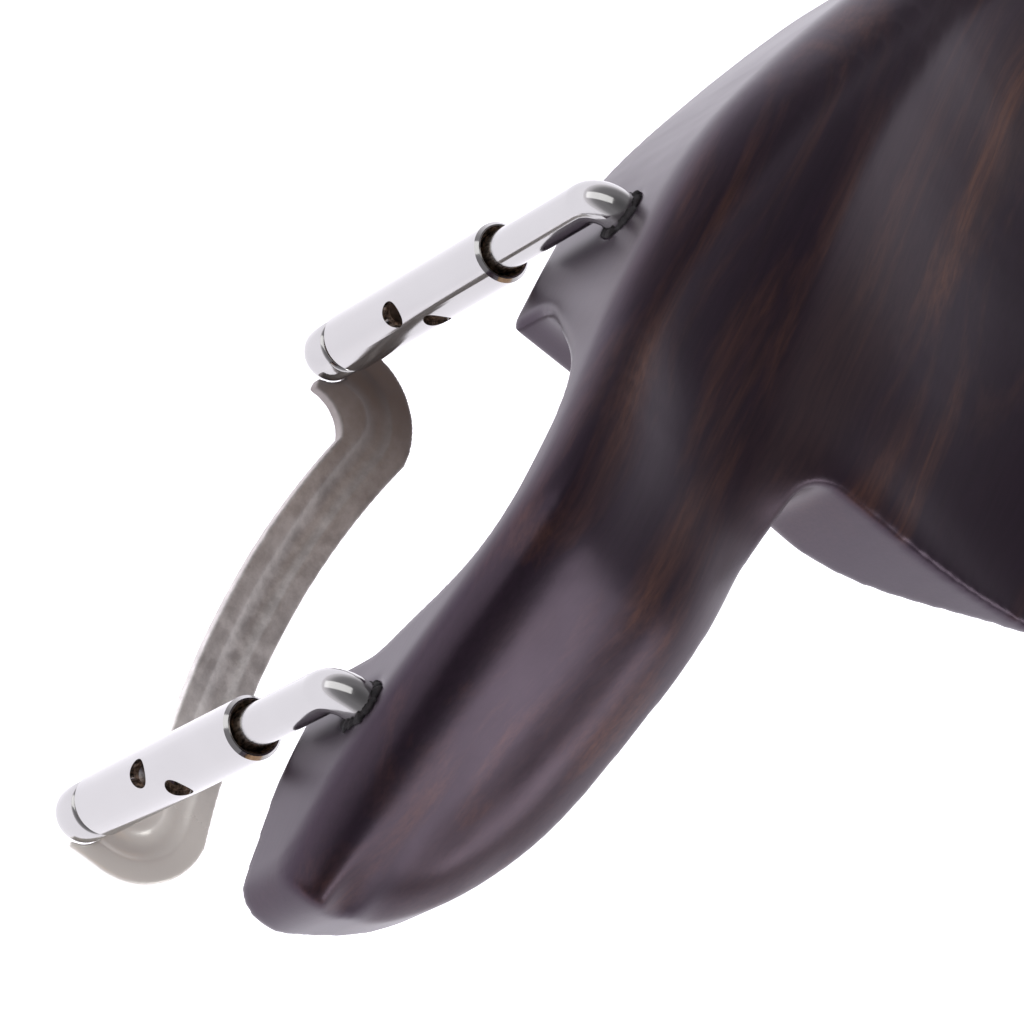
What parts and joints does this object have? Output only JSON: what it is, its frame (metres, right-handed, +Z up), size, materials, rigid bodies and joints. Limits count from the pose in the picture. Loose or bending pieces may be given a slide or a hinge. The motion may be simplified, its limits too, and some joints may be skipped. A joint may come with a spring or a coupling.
{
  "type": "violin chin rest",
  "caption": "Centre-mounted violin chin rest: carved dark wood plate with a dished cup and arched arm, held by a two-leg turnbuckle clamp with a bowed strip below.",
  "frame": {"origin": "midway between the two clamp legs, on their axes, in the plane of the cork pads' undersides, which is the violin's top plate", "axes": "+X along the line of the two legs toward the narrow arm's tip; +Y away from the outer wall, toward the violin's scroll; +Z up, out of the violin's top plate"},
  "size_m": [0.1277, 0.0679, 0.0585],
  "materials": {
    "ebony": "satin oiled, near black with brown streaks",
    "polished_nickel": "polished",
    "pressed_strip": "dull, mottled",
    "cork": "matt cork"
  },
  "bodies": {
    "plate": {"chin_plate": "ebony", "cork_pad_arm": "cork", "cork_pad_cup": "cork", "hook_arm": "polished_nickel", "hook_cup": "polished_nickel"},
    "barrel_arm": {"barrel_arm": "polished_nickel"},
    "barrel_cup": {"barrel_cup": "polished_nickel"},
    "bracket": {"bracket_strip": "pressed_strip", "post_arm": "polished_nickel", "post_cup": "polished_nickel"}
  },
  "joints": [
    {"name": "bracket_lift", "type": "slide", "parent": "plate", "child": "bracket", "axis": [0, 0, 1], "range_m": [-0.007, 0.0004]},
    {"name": "barrel_arm_turn", "type": "hinge", "parent": "plate", "child": "barrel_arm", "pos_m": [0.0265, 0, -0.015], "axis": [0, 0, 1], "range_deg": [-103.86, 1801]},
    {"name": "barrel_cup_turn", "type": "hinge", "parent": "plate", "child": "barrel_cup", "pos_m": [-0.0265, 0, -0.015], "axis": [0, 0, 1], "range_deg": [-103.86, 1801]}
  ],
  "couplings": [
    {"joint": "barrel_arm_turn", "follows": "bracket_lift", "rad_per_m": -4488},
    {"joint": "barrel_cup_turn", "follows": "bracket_lift", "rad_per_m": -4488}
  ]
}
